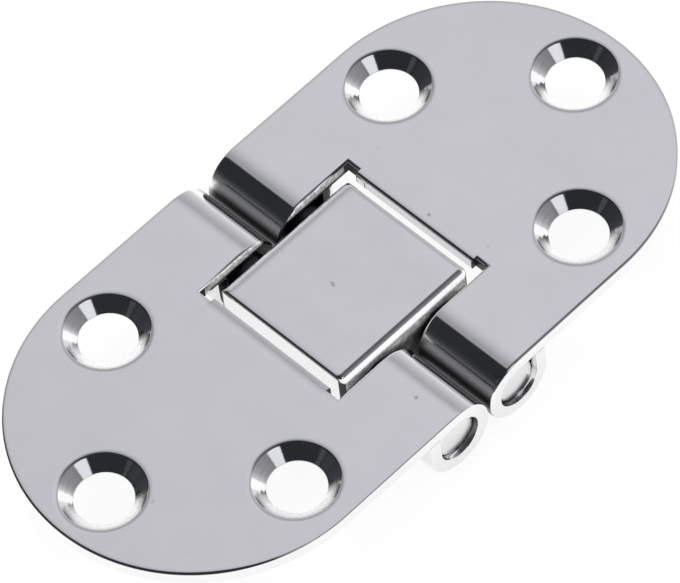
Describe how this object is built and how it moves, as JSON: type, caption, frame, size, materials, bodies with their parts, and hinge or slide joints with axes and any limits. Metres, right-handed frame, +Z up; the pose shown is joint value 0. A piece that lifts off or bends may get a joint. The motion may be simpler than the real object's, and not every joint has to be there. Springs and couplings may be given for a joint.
{
  "type": "drop leaf table hinge",
  "caption": "Flush folding hinge with round-ended countersunk leaves rolled round separate pins and joined by a square link block, for table leaves and counter flaps that fold flat.",
  "frame": {"origin": "under the middle of the hinge, level with the bottom of the rolled knuckles", "axes": "+X along the hinge from the left leaf to the right leaf, +Y along the pins, +Z up through the flush top faces"},
  "size_m": [0.08, 0.04, 0.0082],
  "materials": {
    "leaf_steel": "mirror-polished stainless steel sheet, not plated",
    "link_steel": "mirror-polished stainless steel block, not plated",
    "pin_steel": "plain drawn stainless steel rod"
  },
  "bodies": {
    "left_leaf": {"left_leaf": "leaf_steel"},
    "link": {"link": "link_steel", "left_pin": "pin_steel", "right_pin": "pin_steel"},
    "right_leaf": {"right_leaf": "leaf_steel"}
  },
  "joints": [
    {"name": "left_pivot", "type": "hinge", "parent": "left_leaf", "child": "link", "pos_m": [-0.00425, 0, 0.00408], "axis": [0, -1, 0], "range_deg": [0, 90]},
    {"name": "right_pivot", "type": "hinge", "parent": "link", "child": "right_leaf", "pos_m": [0.00425, 0, 0.00408], "axis": [0, -1, 0], "range_deg": [0, 90]}
  ]
}
